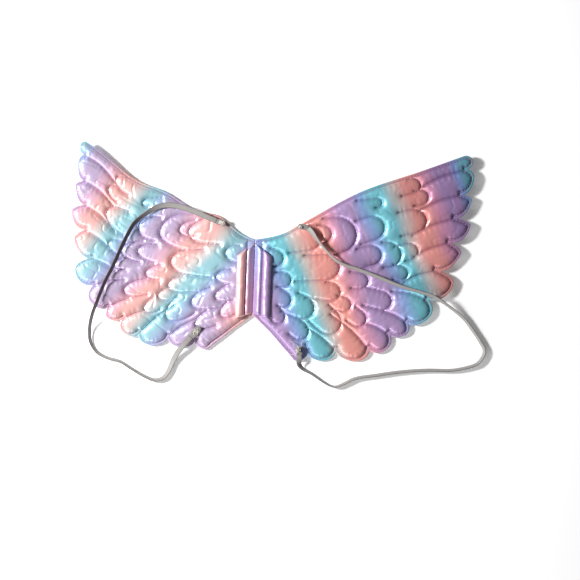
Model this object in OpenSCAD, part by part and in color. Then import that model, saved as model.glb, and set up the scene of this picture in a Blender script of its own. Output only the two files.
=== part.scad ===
// Pair of quilted costume wings, lying flat with the wearer's side up.
// The frame: +X towards the right wing's tip, +Y towards the top edge, +Z up.
// The origin is on the centre seam, on the surface that the wings lie on.
// Millimetres.

/* [Wing panel] */
// Height of the padded panel above its own underside
panel_h = 8; // [6:0.5:10]
// Height of the sewn rim's middle, where the two covers meet
rim_z = 3; // [2.5:0.5:4]
// Thickness of one cover sheet
cover_t = 0.8; // [0.5:0.1:1]
// Width of the flat sewn rim round the padding
rim_w = 4.2; // [3.5:0.1:5]

/* [Lie of the wings] */
// How far the left wing's tip curls up off the surface
left_lift = 12; // [0:1:12]
// How far the right wing's outer edge rises off the surface
right_lift = 6; // [0:1:6]

/* [Spine flaps] */
// Width of each flap that is turned out along the centre seam
flap_w = 19; // [17:0.5:20]
// Distance from the centre seam to the flap's row of stitches
flap_stitch_x = 8.5; // [8.5:0.1:8.6]

/* [Arm straps] */
// Width of the flat elastic
strap_w = 6; // [5:0.5:7]
// Thickness of the flat elastic
strap_t = 1.2; // [1:0.1:1.4]

/* [Hidden] */

RIGHT = 1;
LEFT = -1;
seam_gap = 0.25;        // from the seam's middle to each half
thread_t = 0.4;         // height of a sewing thread
tall = 60;              // taller than any part of the wings
long = 300;             // longer than the wings are from top to bottom, both ways from the origin

// Leading edge, from the centre seam out to the wing tip.
lead = [[0, 41], [27, 47.5], [51, 61], [113, 97.5], [178, 122.5], [226, 141.5]];
// Notches between the feather ends, down the outer edge and in along the lower one.
notches = [
  [226, 141.5], [229, 127], [225, 99], [219, 73], [214, 46], [200, 15], [193, -18],
  [171, -44], [151, -57], [130, -75], [93, -77], [62, -80], [45, -87]
];
// Round end of each feather, between one notch and the next.
feather_ends = [
  [235.5, 136], [237, 116], [235.5, 93], [235, 65], [226, 34], [219, 1],
  [194, -37], [169, -57], [148, -74.5], [115, -88], [79, -89], [54, -90]
];
// Lower edge, from the last feather in to the centre seam.
trail = [[45, -87], [20, -60], [0, -42]];

// Quilted feathers: end x, end y, direction, half width, length sewn along the
// upper side, length sewn along the lower side.
feathers = [
  [32, 20, -10, 9, 6, 0], [41.5, -2, 0, 8, 8, 6], [41, -28, -30, 9, 8, 0], [34, -48, -45, 8, 4, 0],
  [73, 48, 10, 14, 15, 22], [94, 15, 5, 14, 22, 34], [96, -14, -5, 10, 6, 26], [67, -36, -20, 13, 8, 18],
  [61, -63, -35, 10, 10, 6],
  [84, 50, 0, 9, 6, 4], [111, 52, 8, 20, 12, 10], [126, 0, -2, 9, 10, 8], [108, -28, -12, 8, 8, 10],
  [95, -55, -40, 14, 10, 14],
  [138, 87, 8, 5, 22, 2], [141, 63, 20, 13, 14, 16], [139, 32, 18, 11, 12, 16], [161, 31, 5, 14, 4, 4],
  [169, 9, -8, 8, 8, 6], [152, -23, -12, 10, 20, 18], [124, -46, -32, 9, 8, 8],
  [179, 109, 16, 8, 4, 14], [188.5, 96, 12, 8, 6, 8], [187, 71, 14, 13, 14, 16], [179, 37, 16, 9, 14, 6]
];
// Inner end of the stitch line that starts at each notch, from the second notch on.
groove_ends = [
  [180, 105], [178, 79], [172, 52], [175, 29], [165, 1], [152, -10],
  [144, -32], [123, -46], [86, -38], [60, -53], [60, -72]
];

// Strap routes: x, y, z, and how far the band is rolled up on its edge.
right_route = [
  [57.5, 55.5, 9.4, 0], [62.5, 50.5, 11, 35], [69, 42, 12.2, 62], [76, 34, 12.8, 68], [84, 26, 12.8, 66],
  [92, 20, 12.6, 60], [101, 16, 12.4, 55], [112, 13, 12.4, 52], [136, 5, 12.6, 52], [161, -4, 13.2, 55],
  [188, -11, 14.8, 58], [199, -14.5, 15, 60], [210, -21, 11.5, 62], [222, -29, 6.8, 62],
  [233, -38, 4.2, 62], [242, -49, 3.3, 62], [250, -60, 3.2, 62], [256, -71, 3.2, 62],
  [253, -81, 3.2, 62], [245, -88, 3.2, 62], [222, -94, 3.2, 62], [194, -95, 3.2, 60],
  [165, -98, 3.2, 60], [137, -103, 3.2, 60], [116, -107, 3.2, 62], [104, -113, 3.2, 65],
  [94, -117, 3.2, 70], [84, -114, 3.2, 70], [68, -104, 3.2, 65], [58, -99, 3.6, 55],
  [53.5, -94, 5.6, 30], [53, -89, 8.8, 10], [53, -84.5, 9.4, 0]
];
left_route = [
  [-43.5, 60, 9.4, 0], [-52, 63, 10.2, 0], [-67, 69, 10.4, 0], [-84, 74, 10.8, -5], [-98, 75, 11.8, -15],
  [-109, 72, 13.1, -30], [-120, 65, 14.6, -45], [-133, 53, 16.2, -52], [-143, 33, 17.3, -55],
  [-154, 6, 18.7, -58], [-161, -9, 19.6, -60], [-166, -22, 20.4, -60], [-170, -34, 20.7, -60],
  [-174, -45, 16.5, -60], [-177, -56, 9.5, -60], [-178, -66, 4.8, -60], [-176.5, -78, 3.2, -60],
  [-169, -89, 3.2, -60], [-157, -95, 3.2, -62], [-144, -98, 3.2, -65], [-130, -106, 3.2, -65],
  [-117, -113, 3.2, -62], [-106, -117, 3.2, -58], [-96, -115, 3.2, -50], [-90, -107, 3.2, -40],
  [-86, -97, 3.8, -25], [-81, -87, 6.8, -10], [-73.5, -77, 9.8, 0], [-66.5, -68.5, 9.4, 0]
];

// Sewn strap ends: middle, length, turn.
right_upper_end = [50, 57, 8, 0];
right_lower_end = [53, -78.5, 10, 90];
left_upper_end = [-37, 58.5, 9, 0];
left_lower_end = [-61, -62.3, 13, 49];
strap_end_w = 7;
strap_end_t = 1.6;

// ---- Curves ----

function unit(v) = v / norm(v);

// One point of a smooth curve between p1 and p2, shaped by their neighbours.
function on_curve(p0, p1, p2, p3, t) =
  0.5 * (2 * p1 + (p2 - p0) * t + (2 * p0 - 5 * p1 + 4 * p2 - p3) * t * t
         + (3 * p1 - p0 - 3 * p2 + p3) * t * t * t);

// A smooth curve through all the points, with the same number of steps between each two.
function smooth_through(p, steps) = concat(
  [for (i = [0:len(p) - 2], s = [0:steps - 1])
    on_curve(p[max(i - 1, 0)], p[i], p[i + 1], p[min(i + 2, len(p) - 1)], s / steps)],
  [p[len(p) - 1]]);

// A quarter of an ellipse that leaves a in the direction out and ends square to it at b.
function quarter(a, b, out, angle) =
  let (corner = a + out * ((b - a) * out))
  corner + (a - corner) * (1 - sin(angle)) + (b - corner) * (1 - cos(angle));

// The round end of one feather, from notch p over its end to notch q, with both of its
// sides moved in by narrower. Where they are not moved, the next feather starts at q.
function feather_end(p, end, q, narrower, steps = 4) =
  let (along = unit(q - p), out = [-along[1], along[0]], p1 = p + narrower * along, q1 = q - narrower * along)
  concat(
    [for (i = [0:steps - 1]) quarter(p1, end, out, 90 * i / steps)],
    [for (i = [steps:-1:1]) quarter(q1, end, out, 90 * i / steps)],
    narrower > 0 ? [q1] : []);

function out_of(i) = unit([notches[i][1] - notches[i + 1][1], notches[i + 1][0] - notches[i][0]]);

lead_in = [0.41, -0.91];        // inwards from the leading edge
trail_in = [0.7, 0.7];          // inwards from the short lower edge
notch_share = 1.3;              // a notch moves further than a feather's end
side_share = 0.85;              // a feather's sides move a little less

// A notch moved inwards. The first one is the corner where the leading edge ends.
function notch_in(i, d) =
  i == 0
    ? notches[0] + d * lead_in - side_share * d * unit(notches[1] - notches[0])
    : notches[i] - d * notch_share * unit(out_of(i - 1) + out_of(min(i, len(feather_ends) - 1)));

// A feather's end moved inwards. It keeps its share of the way across its narrowed feather.
function end_in(i, d) =
  let (chord = notches[i + 1] - notches[i], w = norm(chord), along = chord / w, out = out_of(i),
       e = feather_ends[i] - notches[i], side = side_share * d)
  notches[i] + along * (side + (e * along) * (w - 2 * side) / w) + out * (e * out - d);

// The right wing's outline, d inside its cut edge and at least x_in from the seam.
function wing_outline(d, x_in) =
  let (top = smooth_through([for (q = lead) q + d * lead_in], 4))
  [for (p = concat(
    [for (i = [0:len(top) - 2]) top[i]],
    [for (i = [0:len(feather_ends) - 1])
      each feather_end(notch_in(i, d), end_in(i, d), notch_in(i + 1, d), side_share * d)],
    [for (i = [d > 0 ? 1 : 0:len(trail) - 1]) trail[i] + d * trail_in]))
  [max(p[0], x_in), p[1]]];

// The left wing is the same pattern mirrored, drawn in by its curl, gathered a little
// along its lower edge, and pulled up where the strap is sewn on.
function draw_in(p) = 0.26 * max(0, p[0] - 82) * (0.45 + 0.55 * min(max((p[1] + 65) / 185, 0), 1));
function hump(x, middle, width) = exp(-pow((x - middle) / width, 2));
function gather(p) = p[1] < 0
  ? -0.1 * p[1] * min(1, p[0] / 45)
  : min(1, p[1] / 50) * 11 * (hump(p[0], 38, 20) - hump(p[0], 150, 45));
function left_point(p) = [-(p[0] - draw_in(p)), p[1] + gather(p)];
function place(side, p) = side == RIGHT ? p : left_point(p);

// Height of the wing's underside above the surface, by distance from the seam.
function lift(side, x) = side == RIGHT
  ? right_lift * pow(max(0, x - 110) / 127, 2)
  : left_lift * pow(max(0, x - 70) / 125, 2);
lift_start = [70, 0, 110];     // left, unused, right
lift_end = [205, 0, 245];
lift_steps = 9;

// ---- Shared solids ----

// Everything between two heights that follow the wing's lie, as one wide band.
module lie_band(side, z0, z1) {
  start = lift_start[side + 1];
  end = lift_end[side + 1];
  xs = concat([-10], [for (i = [0:lift_steps]) start + (end - start) * i / lift_steps]);
  rotate([90, 0, 0])
    linear_extrude(long, center = true)
      polygon(concat(
        [for (x = xs) [side * x, lift(side, x) + z0]],
        [for (i = [len(xs) - 1:-1:0]) [side * xs[i], lift(side, xs[i]) + z1]]));
}

// A sheet of the wing's outline between two heights.
module wing_layer(side, d, x_in, z0, z1) {
  intersection() {
    linear_extrude(tall) polygon([for (p = wing_outline(d, x_in)) place(side, p)]);
    lie_band(side, z0, z1);
  }
}

plateau_x = 9;           // the padding's full height starts outside the flap's stitches
inner_rim = rim_w + cover_t;

module outer_cover(side) {
  difference() {
    union() {
      wing_layer(side, 0, seam_gap, rim_z - cover_t, rim_z);
      wing_layer(side, rim_w, seam_gap, 0, rim_z);
    }
    wing_layer(side, inner_rim, seam_gap + cover_t, cover_t, rim_z + 1);
  }
}

module inner_cover(side) {
  difference() {
    union() {
      wing_layer(side, 0, seam_gap, rim_z, rim_z + cover_t);
      wing_layer(side, rim_w, plateau_x, rim_z, panel_h);
    }
    wing_layer(side, inner_rim, plateau_x + cover_t, rim_z - 1, panel_h - cover_t);
  }
}

// The filling, which stops short of the flap's stitches.
module wadding(side) {
  slack = 0.2;
  inset = inner_rim + 4 * slack;
  wing_layer(side, inset, plateau_x + cover_t + slack, cover_t + slack, panel_h - cover_t - slack);
}

// One row of stitches round the rim, clear of the spine flap.
module edge_thread(side) {
  thread_z = rim_z + cover_t;
  difference() {
    wing_layer(side, 2.6, 1, thread_z, thread_z + thread_t);
    wing_layer(side, 3.2, 1, thread_z - 1, thread_z + 1);
    translate([side * 10, 0, 0]) cube([flap_w + 3, long, tall], center = true);
  }
}

// The line that is sewn round one feather: along its upper side, round its end and back.
// The left wing's slack cloth draws the ends out to a point, at the cost of the sides.
plain_end = 1.15;       // length of a feather's round end for its half width
drawn_end = 2;
function feather_line(side, f, grow) =
  let (w = f[3] + grow, round_l = (side == RIGHT ? plain_end : drawn_end) * w,
       spare = round_l - plain_end * w, ahead = [cos(f[2]), sin(f[2])], up = [-ahead[1], ahead[0]],
       end = [f[0], f[1]] + grow * ahead)
  concat(
    [end - ahead * (round_l + max(f[4] - spare, 0)) + up * w],
    [for (a = [90:-22.5:-90]) end - ahead * round_l * (1 - cos(a)) + up * w * sin(a)],
    [end - ahead * (round_l + max(f[5] - spare, 0)) - up * w]);

function back_to_front(p) = [for (i = [len(p) - 1:-1:0]) p[i]];

// Rows of stitches that quilt the feathers.
module quilt_thread(side) {
  difference() {
    intersection() {
      linear_extrude(tall) {
        for (f = feathers)
          polygon([for (p = concat(feather_line(side, f, 0.3), back_to_front(feather_line(side, f, -0.3))))
            place(side, p)]);
        for (i = [0:len(groove_ends) - 1]) {
          from = notch_in(i + 1, rim_w + 2);
          across = 0.3 * unit([from[1] - groove_ends[i][1], groove_ends[i][0] - from[0]]);
          polygon([for (p = [from + across, groove_ends[i] + across, groove_ends[i] - across, from - across])
            place(side, p)]);
        }
      }
      lie_band(side, panel_h, panel_h + thread_t);
      translate([side * (long / 2 + flap_w + 1), 0, 0]) cube([long, long, 2 * tall], center = true);
    }
    for (at = side == RIGHT ? [right_upper_end, right_lower_end] : [left_upper_end, left_lower_end])
      strap_end(at, 0.5);
  }
}

// ---- Spine flaps ----

flap_base = rim_z + cover_t + 0.1;      // the flap's inner channel lies on the rim
flap_step = panel_h + 0.2;              // its outer channel lies on the padding
flap_skin = 0.8;
flap_start = 0.5;

// Cross-section of the channel beside the seam, rising at less than 45 degrees so that
// the two halves can fold towards each other.
function inner_channel(skin) = [
  [flap_start + 2.4 * skin, flap_base + skin], [2.4 + skin, 5.9], [4.2 + 0.4 * skin, 7.6 - 0.5 * skin],
  [5.6, 8.3 - skin], [7.1 - 0.3 * skin, 8.1 - skin], [8.1 - skin, 7.2 - 0.5 * skin],
  [8.1 - skin, flap_base + skin]
];

// Cross-section of the free channel, a half ellipse.
function outer_channel(skin) =
  let (x0 = flap_stitch_x + 0.4 + skin, x1 = flap_w - skin, h = 4.2 - 2 * skin)
  [for (a = [180:-20:0]) [(x0 + x1) / 2 + cos(a) * (x1 - x0) / 2, flap_step + skin + h * sin(a)]];

module along_seam(side, points) {
  rotate([90, 0, 0])
    linear_extrude(long, center = true)
      polygon([for (p = points) [side * p[0], p[1]]]);
}

// The flap's outline from above: slanted at the top and the bottom.
module flap_plan(side) {
  linear_extrude(tall)
    polygon([for (p = [[0, 37], [20, 22], [20, -47], [0, -40]]) [side * p[0], p[1]]]);
}

module flap_cover(side) {
  intersection() {
    difference() {
      union() {
        along_seam(side, inner_channel(0));
        along_seam(side, outer_channel(0));
        along_seam(side, [[7, 7.4], [9.6, 8.25], [9.6, 9], [7, 8.2]]);
      }
      along_seam(side, inner_channel(flap_skin));
      along_seam(side, outer_channel(flap_skin));
    }
    flap_plan(side);
  }
}

module flap_foam(side) {
  intersection() {
    union() {
      along_seam(side, inner_channel(flap_skin));
      along_seam(side, outer_channel(flap_skin));
    }
    flap_plan(side);
  }
}

// The row of stitches between the two channels, and the short hem row above the flap.
module flap_thread(side) {
  hem_slope = 40;
  translate([side * flap_stitch_x, -5, 9.1 + thread_t / 2])
    cube([0.5, 62, thread_t], center = true);
  translate([side * 15, 28.5, panel_h])
    rotate([0, 0, -side * hem_slope])
      translate([-5, -0.25, 0])
        cube([9, 0.5, thread_t]);
}

// The row of stitches that joins the two halves, inside the seam.
module centre_seam_thread() {
  translate([-0.1, -40, rim_z - 0.6])
    color("plum")
      cube([0.35, 79, 1]);
}

// ---- Straps ----

// Eight-sided section of the flat band.
band_section = [
  [0.5, 0.25], [0.45, 0.5], [-0.45, 0.5], [-0.5, 0.25],
  [-0.5, -0.25], [-0.45, -0.5], [0.45, -0.5], [0.5, -0.25]
];

function flat(p) = [p[0], p[1], p[2]];
function ahead_at(r, i) = unit(flat(r[min(i + 1, len(r) - 1)]) - flat(r[max(i - 1, 0)]));

// One ring of the band, rolled about the route by the route's own angle.
function ring(r, i) =
  let (ahead = ahead_at(r, i), level = unit(cross([0, 0, 1], ahead)), up = cross(ahead, level),
       wide = level * cos(r[i][3]) + up * sin(r[i][3]), thick = cross(ahead, wide))
  [for (s = band_section) flat(r[i]) + wide * s[0] * strap_w + thick * s[1] * strap_t];

module band(route) {
  r = smooth_through(route, 2);
  n = len(band_section);
  rings = len(r);
  polyhedron(
    points = [for (i = [0:rings - 1]) each ring(r, i)],
    faces = concat(
      [[for (k = [0:n - 1]) k]],
      [for (i = [0:rings - 2], k = [0:n - 1])
        [i * n + k, (i + 1) * n + k, (i + 1) * n + (k + 1) % n, i * n + (k + 1) % n]],
      [[for (k = [n - 1:-1:0]) (rings - 1) * n + k]]));
}

// The doubled end of a strap, sewn flat on the wing, or the room that it takes with a
// margin round it.
module strap_end(at, margin = 0) {
  size = [at[2], strap_end_w, strap_end_t] + 2 * margin * [1, 1, 1];
  translate([at[0], at[1], panel_h + 0.05 + strap_end_t / 2])
    rotate([0, 0, at[3]])
      cube(size, center = true);
}

// A crossed tack of thread over a strap's end.
module tack(at) {
  translate([at[0], at[1], panel_h + 0.05 + strap_end_t])
    rotate([0, 0, at[3]])
      for (turn = [-35, 0, 35])
        rotate([0, 0, turn])
          translate([-3.2, -0.4, 0])
            cube([6.4, 0.8, 0.7]);
}

// ---- The pieces ----

module right_outer_cover() { color("orchid") outer_cover(RIGHT); }
module right_wadding() { color("white") wadding(RIGHT); }
module right_inner_cover() { color("mediumturquoise") inner_cover(RIGHT); }
module right_edge_thread() { color("thistle") edge_thread(RIGHT); }
module right_quilt_thread() { color("mediumpurple") quilt_thread(RIGHT); }
module right_flap_cover() { color("mediumorchid") flap_cover(RIGHT); }
module right_flap_foam() { color("ivory") flap_foam(RIGHT); }
module right_flap_thread() { color("indigo") flap_thread(RIGHT); }
module right_strap() { color("gainsboro") band(right_route); }
module right_upper_strap_end() { color("silver") strap_end(right_upper_end); }
module right_lower_strap_end() { color("silver") strap_end(right_lower_end); }
module right_upper_tack() { color("dimgray") tack(right_upper_end); }
module right_lower_tack() { color("dimgray") tack(right_lower_end); }

module left_outer_cover() { color("orchid") outer_cover(LEFT); }
module left_wadding() { color("white") wadding(LEFT); }
module left_inner_cover() { color("lightpink") inner_cover(LEFT); }
module left_edge_thread() { color("thistle") edge_thread(LEFT); }
module left_quilt_thread() { color("mediumpurple") quilt_thread(LEFT); }
module left_flap_cover() { color("lightsalmon") flap_cover(LEFT); }
module left_flap_foam() { color("ivory") flap_foam(LEFT); }
module left_flap_thread() { color("indigo") flap_thread(LEFT); }
module left_strap() { color("gainsboro") band(left_route); }
module left_upper_strap_end() { color("silver") strap_end(left_upper_end); }
module left_lower_strap_end() { color("silver") strap_end(left_lower_end); }
module left_upper_tack() { color("dimgray") tack(left_upper_end); }
module left_lower_tack() { color("dimgray") tack(left_lower_end); }

right_outer_cover();
right_wadding();
right_inner_cover();
right_edge_thread();
right_quilt_thread();
right_flap_cover();
right_flap_foam();
right_flap_thread();
right_strap();
right_upper_strap_end();
right_lower_strap_end();
right_upper_tack();
right_lower_tack();
centre_seam_thread();
left_outer_cover();
left_wadding();
left_inner_cover();
left_edge_thread();
left_quilt_thread();
left_flap_cover();
left_flap_foam();
left_flap_thread();
left_strap();
left_upper_strap_end();
left_lower_strap_end();
left_upper_tack();
left_lower_tack();
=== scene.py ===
# %% [markdown]
# # Quilted fairy wings
# A pair of child's dress-up wings lies on a pale floor with the wearer's side up. Each wing is two
# sheets of pearly coated cloth with wadding between them, sewn together round the scalloped rim and
# quilted in feathers. The two halves meet at a centre seam with padded flaps, and each has a flat
# elastic loop for an arm. The CAD frame gives the places and the joints; this script makes the looks.
# The pattern is written in millimetres, as on paper, and a mesh is turned into metres when it is made.

# %% Load the frame
import math

import bmesh
import bpy
import numpy as np
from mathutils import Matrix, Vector


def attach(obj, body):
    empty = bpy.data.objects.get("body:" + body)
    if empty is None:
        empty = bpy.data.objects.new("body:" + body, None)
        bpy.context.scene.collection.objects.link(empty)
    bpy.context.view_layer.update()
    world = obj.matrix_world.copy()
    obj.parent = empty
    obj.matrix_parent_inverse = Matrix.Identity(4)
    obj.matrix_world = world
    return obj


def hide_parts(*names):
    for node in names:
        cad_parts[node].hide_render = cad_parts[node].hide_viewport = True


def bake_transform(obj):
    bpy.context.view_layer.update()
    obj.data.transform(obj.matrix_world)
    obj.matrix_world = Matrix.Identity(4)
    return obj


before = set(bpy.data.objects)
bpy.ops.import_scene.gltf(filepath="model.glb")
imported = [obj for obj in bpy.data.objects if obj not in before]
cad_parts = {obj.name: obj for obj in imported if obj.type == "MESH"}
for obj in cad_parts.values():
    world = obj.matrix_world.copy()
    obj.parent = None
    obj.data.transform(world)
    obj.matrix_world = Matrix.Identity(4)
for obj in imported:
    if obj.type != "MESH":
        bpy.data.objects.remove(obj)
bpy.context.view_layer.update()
MM = 0.001
scene = bpy.context.scene
SIDES = {"right": 1, "left": -1}

# %% [markdown]
# ## Camera
# The wings are seen from straight above with a long lens, so that nothing looks stretched. The camera
# is turned a little, because the wings were not laid quite square to it.

# %% Camera
VIEW_W = 0.638
CAMERA_H = 2.5
SENSOR = 36.0
CAMERA_AT = (0.0402, -0.0128)
CAMERA_TURN = 2.2
camera_data = bpy.data.cameras.new("camera")
camera_data.sensor_width = SENSOR
camera_data.lens = SENSOR * CAMERA_H / VIEW_W
camera = bpy.data.objects.new("camera", camera_data)
camera.location = (*CAMERA_AT, CAMERA_H)
camera.rotation_euler = (0, 0, math.radians(CAMERA_TURN))
scene.collection.objects.link(camera)
scene.camera = camera
print("camera lens", round(camera_data.lens, 1), "mm")

# %% [markdown]
# ## Small tools for meshes
# Every piece is a mesh worked out with numpy. A tube or a band is one closed profile carried along a
# path; a sheet is a grid. These helpers turn such arrays into Blender meshes, with an attribute for
# each value that a material reads.

# %% Mesh helpers
def unit(v):
    """Each vector divided by its own length."""
    return v / np.maximum(np.linalg.norm(v, axis=-1, keepdims=True), 1e-12)


def smooth_through(points, steps):
    """A Catmull-Rom curve through all the points: each span is the cubic that leaves a point along
    the line between its neighbours."""
    p = np.asarray(points, float)
    ends = np.concatenate([p[:1], p, p[-1:]])
    a, b, c, d = ends[:-3, None], ends[1:-2, None], ends[2:-1, None], ends[3:, None]
    t = (np.arange(steps) / steps)[None, :, None]
    curve = 0.5 * (2 * b + (c - a) * t + (2 * a - 5 * b + 4 * c - d) * t**2 + (3 * b - a - 3 * c + d) * t**3)
    return np.concatenate([curve.reshape(-1, p.shape[1]), p[-1:]])


def tube_faces(rings, around):
    """Quads between neighbouring rings, and one cap at each end."""
    i, k = np.meshgrid(np.arange(rings - 1), np.arange(around), indexing="ij")
    k2 = (k + 1) % around
    quads = np.stack([i * around + k, i * around + k2, (i + 1) * around + k2, (i + 1) * around + k], -1)
    caps = [list(range(around - 1, -1, -1)), [(rings - 1) * around + j for j in range(around)]]
    return quads.reshape(-1, 4).tolist() + caps


def add_piece(name, verts, faces, attributes=None):
    """A mesh object at the origin, from points in millimetres."""
    mesh = bpy.data.meshes.new(name)
    mesh.from_pydata((np.asarray(verts, float) * MM).tolist(), [], faces)
    for key, values in (attributes or {}).items():
        layer = mesh.attributes.new(key, "FLOAT", "POINT")
        layer.data.foreach_set("value", np.ascontiguousarray(values, np.float32).ravel())
    mesh.polygons.foreach_set("use_smooth", np.full(len(mesh.polygons), True))
    mesh.update()
    piece = bpy.data.objects.new(name, mesh)
    scene.collection.objects.link(piece)
    return piece


def outwards(piece):
    """Turns all the faces of a closed mesh outwards."""
    bm = bmesh.new()
    bm.from_mesh(piece.data)
    bmesh.ops.recalc_face_normals(bm, faces=bm.faces)
    bm.to_mesh(piece.data)
    bm.free()


def settle(piece, body, material, slot, *nodes):
    """Gives a piece its finish, the body that it rides on and the CAD nodes that it stands for."""
    piece.data.materials.append(material)
    if nodes:
        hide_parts(*nodes)
    if body:
        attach(piece, body)
    print(f"{piece.name}: {len(piece.data.polygons)} faces")


def soft_noise(x, y, cell, seed):
    """Smooth random hills from -1 to 1: random heights on a square grid, cell apart, joined by
    the smoothstep curve."""
    table = np.random.default_rng(seed).uniform(-1, 1, (64, 64))
    gx, gy = x / cell, y / cell
    ix, iy = np.floor(gx).astype(int), np.floor(gy).astype(int)
    fx, fy = gx - ix, gy - iy
    fx, fy = fx * fx * (3 - 2 * fx), fy * fy * (3 - 2 * fy)
    near = table[ix % 64, iy % 64] * (1 - fx) + table[(ix + 1) % 64, iy % 64] * fx
    far = table[ix % 64, (iy + 1) % 64] * (1 - fx) + table[(ix + 1) % 64, (iy + 1) % 64] * fx
    return near * (1 - fy) + far * fy


print("mesh helpers ready")

# %% [markdown]
# ## Finishes
# The cloth is coated with a pearly film whose colour drifts in soft bands from lilac through aqua to
# coral. The bands follow the cloth, so each sheet carries a "band" value, counted in periods of the
# bands, and a colour ramp repeats over it. The film's gloss is a clear coat over a part-metallic base,
# which gives both the deep shaded colour and the white sheen. The colour itself also carries painted
# shade along the stitch lines and towards the right wing's tip, and the left wing's paler colour is a
# painted sheen.

# %% Node helpers
def new_material(name):
    material = bpy.data.materials.new(name)
    material.use_nodes = True
    return material, material.node_tree.nodes, material.node_tree.links


def add_node(nodes, kind, **values):
    node = nodes.new(kind)
    for key, value in values.items():
        if key in node.inputs:
            node.inputs[key].default_value = value
        else:
            setattr(node, key, value)
    return node


def fill_ramp(ramp, stops):
    """Colour stops as (position, (r, g, b)), in order."""
    while len(ramp.elements) < len(stops):
        ramp.elements.new(0.5)
    for element, (position, colour) in zip(ramp.elements, stops):
        element.position = position
        element.color = (*colour, 1)


def add_bump(nodes, links, height, strength, distance):
    bump = add_node(nodes, "ShaderNodeBump", Strength=strength, Distance=distance)
    links.new(height, bump.inputs["Height"])
    return bump


def object_texture(nodes, links, kind, **values):
    """A texture that is fixed to the object's own coordinates."""
    texture = add_node(nodes, kind, **values)
    links.new(add_node(nodes, "ShaderNodeTexCoord").outputs["Object"], texture.inputs["Vector"])
    return texture


def set_sockets(node, values):
    for key, value in values.items():
        node.inputs[key].default_value = value


print("node helpers ready")


# %% Pearly cloth
LILAC = (0.36, 0.21, 0.46)
PERIWINKLE = (0.18, 0.32, 0.66)
AQUA = (0.08, 0.46, 0.54)
SAND = (0.56, 0.46, 0.42)
CORAL = (0.82, 0.27, 0.22)
ROSE = (0.66, 0.24, 0.38)


def pearly_cloth(name, shift, milk_and_sheen, painted_shade, gloss):
    """Coated cloth: six soft colours repeat over one period of the band value. milk_and_sheen is the share of
    white mixed into the colour: partly the film's milkiness and partly a painted sheen. painted_shade is
    multiplied in where the dip value is high, as painted shade, and gloss is the weight of the clear coat."""
    material, nodes, links = new_material(name)
    shader = nodes["Principled BSDF"]
    band = add_node(nodes, "ShaderNodeAttribute", attribute_name="band")
    turn = add_node(nodes, "ShaderNodeMath", operation="ADD")
    turn.inputs[1].default_value = shift
    links.new(band.outputs["Fac"], turn.inputs[0])
    repeat = add_node(nodes, "ShaderNodeMath", operation="FRACT")
    links.new(turn.outputs[0], repeat.inputs[0])
    ramp = add_node(nodes, "ShaderNodeValToRGB")
    fill_ramp(ramp.color_ramp, [
        (0.0, LILAC), (0.16, LILAC), (0.27, PERIWINKLE), (0.37, AQUA), (0.46, AQUA),
        (0.56, SAND), (0.66, CORAL), (0.78, CORAL), (0.88, ROSE), (1.0, LILAC)])
    links.new(repeat.outputs[0], ramp.inputs["Fac"])
    milk_and_sheen_mix = add_node(nodes, "ShaderNodeMix", data_type="RGBA")
    set_sockets(milk_and_sheen_mix, {"Factor": milk_and_sheen, "B": (1, 0.97, 1, 1)})
    links.new(ramp.outputs["Color"], milk_and_sheen_mix.inputs["A"])
    # Painted shade: the colour is multiplied by painted_shade where the dip value is high.
    dip = add_node(nodes, "ShaderNodeAttribute", attribute_name="dip")
    deep = add_node(nodes, "ShaderNodeMix", data_type="RGBA", blend_type="MULTIPLY")
    deep.inputs["B"].default_value = painted_shade
    links.new(dip.outputs["Fac"], deep.inputs["Factor"])
    links.new(milk_and_sheen_mix.outputs["Result"], deep.inputs["A"])
    links.new(deep.outputs["Result"], shader.inputs["Base Color"])
    grain = object_texture(nodes, links, "ShaderNodeTexNoise", Scale=900.0, Detail=3.0)
    crinkle = object_texture(nodes, links, "ShaderNodeTexNoise", Scale=170.0, Detail=4.0, Distortion=0.6)
    fine = add_bump(nodes, links, grain.outputs["Fac"], 0.10, 0.0004)
    coarse = add_bump(nodes, links, crinkle.outputs["Fac"], 0.18, 0.0012)
    links.new(fine.outputs["Normal"], coarse.inputs["Normal"])
    links.new(coarse.outputs["Normal"], shader.inputs["Normal"])
    set_sockets(shader, {
        "Metallic": 0.35, "Roughness": 0.4, "Coat Weight": gloss, "Coat Roughness": 0.24,
        "Sheen Weight": 0.15, "Sheen Roughness": 0.4})
    return material


# One period of the colour bands, in millimetres across them.
BAND_PERIOD = {"right": 118.0, "left": 98.0}
# Lit and shaded copies of one cloth: the left wing's larger share of white is a painted sheen from the lamps,
# and its painted shade is lighter.
pearl = {
    "right": pearly_cloth("pearly cloth right", 0.07, 0.10, (0.40, 0.33, 0.46, 1), 0.3),
    "left": pearly_cloth("pearly cloth left", -0.05, 0.28, (0.52, 0.38, 0.58, 1), 0.75),
}
print("cloth materials:", [m.name for m in pearl.values()])


# %% Thread, elastic and wadding
def plain_thread(name, colour):
    """Twisted sewing thread: fine slanting ridges and a soft sheen."""
    material, nodes, links = new_material(name)
    shader = nodes["Principled BSDF"]
    twist = object_texture(nodes, links, "ShaderNodeTexWave", Scale=900.0, Distortion=1.0)
    tint = add_node(nodes, "ShaderNodeMix", data_type="RGBA")
    set_sockets(tint, {"A": (*[c * 0.7 for c in colour], 1), "B": (*colour, 1)})
    links.new(twist.outputs["Fac"], tint.inputs["Factor"])
    links.new(tint.outputs["Result"], shader.inputs["Base Color"])
    bump = add_bump(nodes, links, twist.outputs["Fac"], 0.4, 0.0001)
    links.new(bump.outputs["Normal"], shader.inputs["Normal"])
    set_sockets(shader, {"Roughness": 0.55, "Sheen Weight": 0.3})
    return material


RIB_PITCH = 0.9
PICK_PITCH = 1.1


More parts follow.
